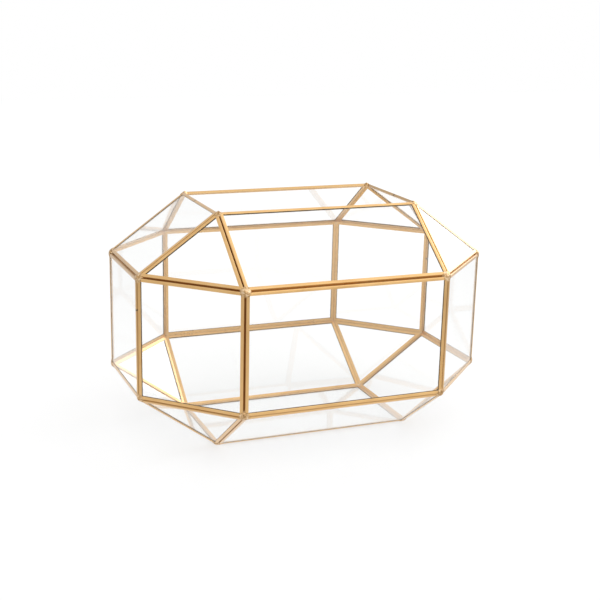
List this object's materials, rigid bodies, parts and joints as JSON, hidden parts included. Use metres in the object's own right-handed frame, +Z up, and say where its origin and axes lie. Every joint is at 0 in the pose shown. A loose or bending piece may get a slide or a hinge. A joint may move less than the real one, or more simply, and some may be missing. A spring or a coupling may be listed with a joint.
{
  "type": "card box",
  "caption": "Open-topped geometric card box of flat glass panes, each edged in folded brass channel and soldered at the corners, with sloped shoulders round a rectangular mouth.",
  "frame": {"origin": "middle of the flat underside of the base", "axes": "+X along the length, +Y from the front wall to the back wall, +Z up through the open mouth"},
  "size_m": [0.3384, 0.2504, 0.2172],
  "materials": {
    "clear_glass": "clear polished float glass",
    "brass_channel": "satin brass with faint drawn lines",
    "solder": "dull hand-dressed solder, washed with brass colour"
  },
  "bodies": {
    "root": {"front_wall_glass": "clear_glass", "front_wall_channel": "brass_channel", "front_shoulder_glass": "clear_glass", "front_shoulder_channel": "brass_channel", "front_skirt_glass": "clear_glass", "front_skirt_channel": "brass_channel", "right_wall_glass": "clear_glass", "right_wall_channel": "brass_channel", "right_shoulder_glass": "clear_glass", "right_shoulder_channel": "brass_channel", "right_skirt_glass": "clear_glass", "right_skirt_channel": "brass_channel", "back_wall_glass": "clear_glass", "back_wall_channel": "brass_channel", "back_shoulder_glass": "clear_glass", "back_shoulder_channel": "brass_channel", "back_skirt_glass": "clear_glass", "back_skirt_channel": "brass_channel", "left_wall_glass": "clear_glass", "left_wall_channel": "brass_channel", "left_shoulder_glass": "clear_glass", "left_shoulder_channel": "brass_channel", "left_skirt_glass": "clear_glass", "left_skirt_channel": "brass_channel", "front_right_wall_glass": "clear_glass", "front_right_wall_channel": "brass_channel", "front_right_shoulder_glass": "clear_glass", "front_right_shoulder_channel": "brass_channel", "front_right_skirt_glass": "clear_glass", "front_right_skirt_channel": "brass_channel", "back_right_wall_glass": "clear_glass", "back_right_wall_channel": "brass_channel", "back_right_shoulder_glass": "clear_glass", "back_right_shoulder_channel": "brass_channel", "back_right_skirt_glass": "clear_glass", "back_right_skirt_channel": "brass_channel", "back_left_wall_glass": "clear_glass", "back_left_wall_channel": "brass_channel", "back_left_shoulder_glass": "clear_glass", "back_left_shoulder_channel": "brass_channel", "back_left_skirt_glass": "clear_glass", "back_left_skirt_channel": "brass_channel", "front_left_wall_glass": "clear_glass", "front_left_wall_channel": "brass_channel", "front_left_shoulder_glass": "clear_glass", "front_left_shoulder_channel": "brass_channel", "front_left_skirt_glass": "clear_glass", "front_left_skirt_channel": "brass_channel", "base_glass": "clear_glass", "base_channel": "brass_channel", "mouth_solder": "solder", "upper_rim_solder": "solder", "lower_rim_solder": "solder", "base_solder": "solder"}
  },
  "joints": []
}
